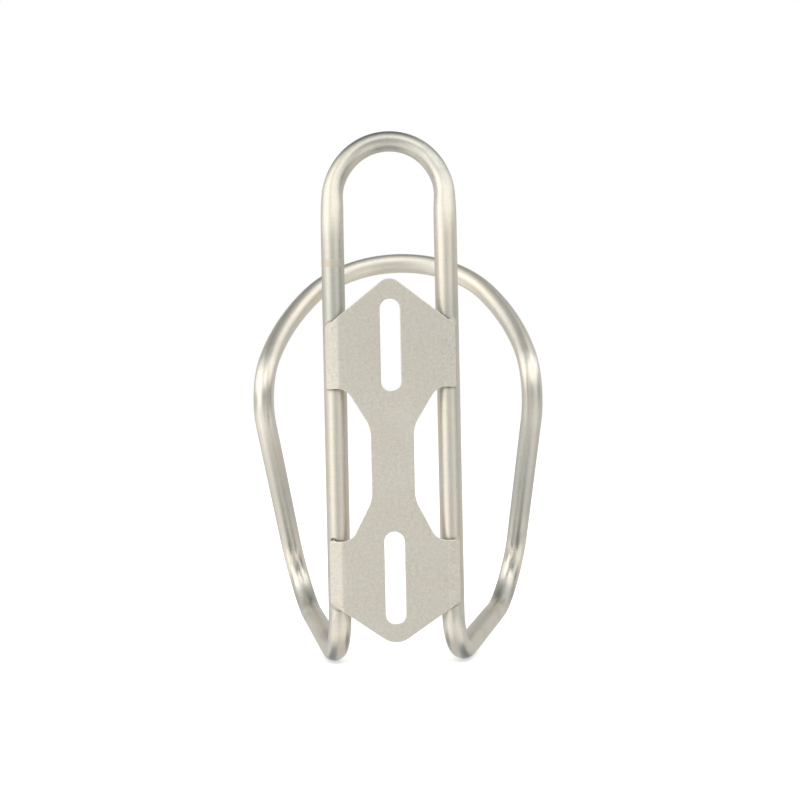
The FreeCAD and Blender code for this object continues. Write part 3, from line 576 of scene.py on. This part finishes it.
tube_metal = tube_look()
plate_metal = sheet_look()
weld_metal = weld_look("weld_titanium", WELD_BRIGHTNESS)
# its greater brightness is a painted highlight on the teeth
tooth_metal = weld_look("tooth_titanium", TOOTH_HIGHLIGHT_BRIGHTNESS)
joint_metal = weld_look("joint_titanium", JOINT_BRIGHTNESS)
sleeve_metal = sleeve_look()

vertices, faces, space, marks = tube_mesh()
tube = new_piece("bent_tube", vertices, faces, tube_metal, ["tube_loop"])
keep_for_material(tube, space, marks)

# ---------------------------------------------------------------------------------------------------------
# Plate: the CAD sheet with its cut edges softened

MERGE = 0.002        # mm between vertices that are one
FLAT_ANGLE = math.radians(1)
CUT_ANGLE = math.radians(35)
EDGE_ROUND = 0.2     # mm


def plate_mesh():
    """CAD mesh of the plate, flat faces joined, cut edges rounded and marked as rubbed and for a painted
    highlight.
    """
    bm = bmesh.new()
    bm.from_mesh(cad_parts["mounting_plate"].data)
    bmesh.ops.remove_doubles(bm, verts=bm.verts, dist=MERGE * MM)
    bmesh.ops.dissolve_limit(bm, angle_limit=FLAT_ANGLE, verts=bm.verts, edges=bm.edges,
                             use_dissolve_boundaries=False, delimit=set())
    sharp = [edge for edge in bm.edges if len(edge.link_faces) == 2 and edge.calc_face_angle() > CUT_ANGLE]
    # edges to be rubbed smoother and given a painted highlight
    rubbed = bm.faces.layers.float.new("rubbed_edge_and_highlight")
    rounded = bmesh.ops.bevel(bm, geom=sharp, offset=EDGE_ROUND * MM, segments=3, profile=0.5, affect="EDGES",
                              clamp_overlap=True)
    for face in rounded["faces"]:
        face[rubbed] = 1.0
    bmesh.ops.triangulate(bm, faces=bm.faces, ngon_method="BEAUTY")
    mesh = bpy.data.meshes.new("plate_sheet")
    bm.to_mesh(mesh)
    bm.free()
    mesh.shade_smooth()
    return mesh


plate = finish_piece("plate_sheet", plate_mesh(), plate_metal, ["mounting_plate"])
weighted = plate.modifiers.new("flat_faces", "WEIGHTED_NORMAL")
weighted.keep_sharp = True

# ---------------------------------------------------------------------------------------------------------
# Weld beads: short fillets from the wings' edges down to the rails, one of them toothed

WING_EDGES = {
    # height at the middle of the cage, slope outwards, and which way the bead lies
    "upper_wing_top": (TOP_APEX, -math.tan(math.radians(TOP_SLANT)), 1),
    "upper_wing_bottom": (UPPER_LEDGE, 0.0, -1),
    "lower_wing_top": (LOWER_LEDGE, 0.0, 1),
    "lower_wing_bottom": (BOTTOM_APEX, math.tan(math.radians(BOTTOM_SLANT)), -1),
}
BEADS = {
    # bead's start and end from the middle of the cage and its leg down the rail, in mm, and its teeth
    "upper_wing_top_left": (15.9, 17.97, 1.5, 0),
    "upper_wing_top_right": (15.9, 17.97, 1.4, 0),
    "upper_wing_bottom_left": (15.8, 17.9, 0.5, 0),
    "upper_wing_bottom_right": (16.0, 17.9, 0.5, 0),
    "lower_wing_top_left": (15.9, 17.9, 1.0, 5),
    "lower_wing_top_right": (16.3, 17.9, 0.6, 0),
    "lower_wing_bottom_left": (14.9, 17.97, 1.4, 0),
    "lower_wing_bottom_right": (16.2, 17.97, 1.1, 0),
}
BEAD_ROWS = 61
BEAD_COLUMNS = 17
BEAD_FLAT = 4        # columns of those on the plate's face
BEAD_OVERLAP = 0.5   # of its leg that a bead reaches over the plate's face, up to this many millimetres
BEAD_PROUD = 0.02    # mm that it stands above that face
BEAD_DEPTH = 0.5     # mm that it reaches into the metal below
BEAD_START = 0.05    # of its full size that a bead has at its inner end
BEAD_TAPER = 0.45    # of its full size that it has lost at its outer end
TOOTH_GAP = 0.04     # of a tooth's length that is left between two teeth
BEAD_CURVE = 0.30, 0.60    # how far down its leg a bead is pulled level with the face, and then to the rail
TOOTH_CURVE = 0.75, 0.95   # the same for a toothed bead, which drops later


def rail_surface(across):
    """Depth of a rail's near surface at this distance from the middle of the cage."""
    return RAIL_Y - math.sqrt(TUBE_RADIUS ** 2 - (across - RAIL_HALF) ** 2)


def wing_face(across):
    """Depth of a wing's outer face there."""
    slope = math.radians(WING_ANGLE)
    touch = TUBE_RADIUS + SEAT_GAP
    outwards = across - RAIL_HALF - touch * math.sin(slope)
    depth = RAIL_Y - touch * math.cos(slope) + outwards * math.tan(slope)
    return max(0.0, depth - SHEET_THICK / math.cos(slope))


def curve_between(start, first_pull, second_pull, end, share):
    """Point on a cubic Bezier curve."""
    back = 1 - share
    return start * back ** 3 + first_pull * (3 * back ** 2 * share) + second_pull * (3 * back * share ** 2) \
        + end * share ** 3


def bead_size(share, teeth):
    """How full a bead is at this share of its length, and how much of a tooth is there."""
    grown = (1 - BEAD_START) * math.sin(math.pi * min(share, 0.5))
    swell = BEAD_START + grown * (1 - BEAD_TAPER * share ** 4)
    tooth = TOOTH_GAP + (1 - TOOTH_GAP) * math.sin(math.pi * teeth * share) ** 2 if teeth else 1.0
    return swell, tooth


def bead_section(rim, away, leg, swell, tooth, curve):
    """Ring of points round a bead: from the wing's face over the rim down to the rail, and back inside."""
    reach = leg * swell * tooth
    upper = rim - away * min(BEAD_OVERLAP, BEAD_OVERLAP * leg) * swell * tooth
    upper.y = wing_face(abs(upper.x)) + BEAD_PROUD / 4
    foot = rim + away * reach
    foot.y = rail_surface(abs(foot.x)) + BEAD_PROUD / 4
    level = rim + away * reach * curve[0]
    toe = rim + away * reach * curve[1]
    toe.y = rail_surface(abs(toe.x)) - BEAD_PROUD
    curved = BEAD_COLUMNS - BEAD_FLAT
    inwards = Vector((0, BEAD_DEPTH, 0))
    section = [upper.lerp(rim, column / BEAD_FLAT) for column in range(BEAD_FLAT)]
    section += [curve_between(rim, level, toe, foot, column / (curved - 1)) for column in range(curved)]
    return section + [foot + inwards, upper + inwards]


def bead_mesh(edge, side, start, end, leg, teeth):
    """Fillet that leaves the wing's face level and runs down to the rail, thinning out at its inner end."""
    height, slope, lies = WING_EDGES[edge]
    turned = math.atan(slope)
    away = Vector((-math.sin(turned) * side, 0, math.cos(turned))) * lies
    curve = TOOTH_CURVE if teeth else BEAD_CURVE
    vertices = []
    for row in range(BEAD_ROWS):
        share = row / (BEAD_ROWS - 1)
        across = start + (end - start) * share
        swell, tooth = bead_size(share, teeth)
        rim = Vector((across * side, wing_face(across) - BEAD_PROUD * swell, height + slope * across))
        vertices += bead_section(rim, away, leg, swell, tooth, curve)
    columns = BEAD_COLUMNS + 2
    faces = grid_faces(BEAD_ROWS, columns)
    faces.append(tuple(range(columns))[::-1])
    faces.append(tuple(range((BEAD_ROWS - 1) * columns, BEAD_ROWS * columns)))
    if side * lies > 0:
        faces = [face[::-1] for face in faces]
    return vertices, faces


for name, (start, end, leg, teeth) in BEADS.items():
    edge, hand = name.rsplit("_", 1)
    vertices, faces = bead_mesh(edge, 1 if hand == "right" else -1, start, end, leg, teeth)
    metal = tooth_metal if teeth else weld_metal
    new_piece(f"bead_{name}", vertices, faces, metal, [f"weld_{name}"])

# ---------------------------------------------------------------------------------------------------------
# Joint: a band of weld metal, dressed almost flush with the tube

BAND_PROFILE = (
    # distance from the band's middle in half gaps, height above the tube in millimetres
    (1.10, -0.02), (1.05, 0.018), (0.95, 0.021), (0.5, 0.024), (0.0, 0.026),
)
BAND_SEGMENTS = 96
BAND_INSIDE = 0.3    # mm below the tube's surface


def band_mesh():
    """Band round the tube, its profile turned about the left rail."""
    half = JOINT_GAP / 2
    upper = [(offset * half, TUBE_RADIUS + proud) for offset, proud in BAND_PROFILE]
    lower = [(-along, radius) for along, radius in reversed(upper[:-1])]
    edge = upper[0][0]
    profile = upper + lower + [(-edge, TUBE_RADIUS - BAND_INSIDE), (edge, TUBE_RADIUS - BAND_INSIDE)]
    vertices = []
    for along, radius in profile:
        for number in range(BAND_SEGMENTS):
            turn = 2 * math.pi * number / BAND_SEGMENTS
            vertices.append((-RAIL_HALF + radius * math.cos(turn), RAIL_Y + radius * math.sin(turn),
                             JOINT_HEIGHT + along))
    faces = grid_faces(len(profile), BAND_SEGMENTS, flip=True)
    last = (len(profile) - 1) * BAND_SEGMENTS
    for number in range(BAND_SEGMENTS):
        after = (number + 1) % BAND_SEGMENTS
        faces.append((last + number, number, after, last + after))
    return vertices, faces


vertices, faces = band_mesh()
new_piece("joint_band", vertices, faces, joint_metal, ["joint_weld"])

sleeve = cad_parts["joint_sleeve"]
sleeve.data.materials.clear()
sleeve.data.materials.append(sleeve_metal)

# ---------------------------------------------------------------------------------------------------------
# Camera, floor and light

CAMERA_AT = Vector((16.0, RAIL_Y - 398.0, 16.8)) * MM
CAMERA_YAW = math.radians(1.99)
CAMERA_ROLL = math.radians(1.2)
LENS = 64.6
CLIP_START = 0.01    # metres


def make_camera():
    """Camera where the photo was taken from, as worked out from the cage's perspective in it."""
    camera = bpy.data.objects.new("camera", bpy.data.cameras.new("camera"))
    bpy.context.scene.collection.objects.link(camera)
    bpy.context.scene.camera = camera
    camera.data.lens = LENS
    camera.data.clip_start = CLIP_START
    camera.data.dof.use_dof = False
    ahead = Vector((-math.sin(CAMERA_YAW), math.cos(CAMERA_YAW), 0))
    level = Vector((math.cos(CAMERA_YAW), math.sin(CAMERA_YAW), 0))
    right = level * math.cos(CAMERA_ROLL) - Vector((0, 0, 1)) * math.sin(CAMERA_ROLL)
    up = level * math.sin(CAMERA_ROLL) + Vector((0, 0, 1)) * math.cos(CAMERA_ROLL)
    turn = Matrix((right, up, -ahead)).transposed()
    camera.matrix_world = Matrix.Translation(CAMERA_AT) @ turn.to_4x4()


# The studio: an even grey surround, soft boxes to both sides, above and low in front, and darker flags
# behind, round the camera, to the right and close below the arms. Directions are seen from the cage:
# azimuth 0 is towards the camera and grows to the right, elevation grows upwards. Brightness is what the
# metal sees there.

SURROUND = 0.75
STAGE_RADIUS = 5.0   # metres
BOX_DISTANCE = 1.6   # metres
FLAG_COLOUR = (0.82, 1.0, 1.10)
FLOOR_COLOUR = (0.82, 0.82, 0.81, 1)
FLOOR_GLOW = 0.45
FLOOR_GAP = 0.05     # mm below the cage
SOFT_BOXES = (
    # name, azimuth, elevation, width and height in degrees, brightness above the surround
    ("left_box", -82, 33, 58, 50, 0.80),
    ("left_front_box", -46, 5, 44, 48, 0.84),
    ("upper_right_box", 38, 42, 64, 46, 0.88),
    ("upper_middle_box", -26, 36, 64, 36, 0.50),
    ("right_back_box", 103, 46, 44, 46, 0.80),
    ("right_front_box", 42, 0, 26, 40, 0.30),
    ("low_front_left_box", -44, -44, 54, 46, 0.50),
    ("low_front_right_box", 44, -44, 54, 46, 0.46),
    ("low_left_box", -96, -34, 64, 44, 0.40),
    ("low_right_box", 100, -38, 50, 40, 0.14),
)
FLAGS = (
    # name, distance in metres, azimuth, elevation, width and height in degrees, brightness
    ("back_flag", 1.9, 180, 66, 100, 56, 0.17),
    ("camera_flag", 1.9, 6, 6, 26, 22, 0.42),
    ("right_flag", 1.9, 76, 2, 26, 26, 0.36),
    ("low_left_flag", 0.124, -94, -72, 34, 15, 0.34),
    ("low_right_flag", 0.124, 94, -72, 34, 15, 0.26),
)


def studio_direction(azimuth, elevation):
    a, e = math.radians(azimuth), math.radians(elevation)
    return Vector((math.sin(a) * math.cos(e), -math.cos(a) * math.cos(e), math.sin(e)))


def studio_place(distance, azimuth, elevation, width, height):
    """Matrix of a card that faces the cage from this far, and its width and height in metres."""
    away = studio_direction(azimuth, elevation)
    middle = (cad_low + cad_high) / 2
    place = Matrix.Translation(middle + away * distance) @ away.to_track_quat("Z", "Y").to_matrix().to_4x4()
    return place, *(2 * distance * math.tan(math.radians(angle) / 2) for angle in (width, height))


def soft_box(name, azimuth, elevation, width, height, brightness):
    """Area light that the metal sees as this bright, and the camera doesn't see."""
    place, wide, high = studio_place(BOX_DISTANCE, azimuth, elevation, width, height)
    light = bpy.data.lights.new(name, "AREA")
    light.shape = "RECTANGLE"
    light.size = wide
    light.size_y = high
    light.energy = brightness * math.pi * wide * high
    box = bpy.data.objects.new(name, light)
    bpy.context.scene.collection.objects.link(box)
    box.matrix_world = place
    box.visible_camera = False


def glow(name, colour, strength):
    """Material that only glows."""
    material = bpy.data.materials.new(name)
    material.use_nodes = True
    nodes = material.node_tree.nodes
    nodes.clear()
    output = nodes.new("ShaderNodeOutputMaterial")
    emission = nodes.new("ShaderNodeEmission")
    emission.inputs["Color"].default_value = (*colour, 1)
    emission.inputs["Strength"].default_value = strength
    material.node_tree.links.new(emission.outputs[0], output.inputs["Surface"])
    return material


def stage_mesh(name, bm, material, seen_by):
    """Stage object that only the named kinds of ray see."""
    mesh = bpy.data.meshes.new(name)
    bm.to_mesh(mesh)
    bm.free()
    mesh.materials.append(material)
    item = bpy.data.objects.new(name, mesh)
    bpy.context.scene.collection.objects.link(item)
    for kind in ("camera", "diffuse", "glossy", "transmission", "volume_scatter", "shadow"):
        setattr(item, f"visible_{kind}", kind in seen_by)
    return item


def flag(name, distance, azimuth, elevation, width, height, brightness):
    """Card that only reflections see, to darken a part of them."""
    place, wide, high = studio_place(distance, azimuth, elevation, width, height)
    bm = bmesh.new()
    bmesh.ops.create_grid(bm, x_segments=1, y_segments=1, size=0.5)
    bmesh.ops.scale(bm, vec=(wide, high, 1), verts=bm.verts)
    item = stage_mesh(name, bm, glow(name, FLAG_COLOUR, brightness), ("glossy",))
    item.matrix_world = place


def make_stage():
    """Pale floor just under the cage, which takes its shadow, and a white backdrop."""
    floor_material = bpy.data.materials.new("floor")
    floor_material.use_nodes = True
    shader = floor_material.node_tree.nodes["Principled BSDF"]
    shader.inputs["Base Color"].default_value = FLOOR_COLOUR
    shader.inputs["Roughness"].default_value = 0.9
    shader.inputs["Specular IOR Level"].default_value = 0.0
    shader.inputs["Emission Color"].default_value = (1, 1, 1, 1)
    shader.inputs["Emission Strength"].default_value = FLOOR_GLOW
    bm = bmesh.new()
    bmesh.ops.create_grid(bm, x_segments=1, y_segments=1, size=STAGE_RADIUS)
    floor = stage_mesh("floor", bm, floor_material, ("camera", "shadow"))
    floor.location.z = cad_low.z - FLOOR_GAP * MM
    bm = bmesh.new()
    bmesh.ops.create_uvsphere(bm, u_segments=32, v_segments=16, radius=STAGE_RADIUS)
    stage_mesh("backdrop", bm, glow("backdrop", (1, 1, 1), 1.0), ("camera",))


def make_surround():
    """Even light from all round."""
    world = bpy.data.worlds.new("studio")
    bpy.context.scene.world = world
    world.use_nodes = True
    background = world.node_tree.nodes["Background"]
    background.inputs["Color"].default_value = (1, 1, 1, 1)
    background.inputs["Strength"].default_value = SURROUND


make_camera()
make_stage()
for box in SOFT_BOXES:
    soft_box(*box)
for card in FLAGS:
    flag(*card)
make_surround()
bpy.context.scene.view_settings.view_transform = "Standard"
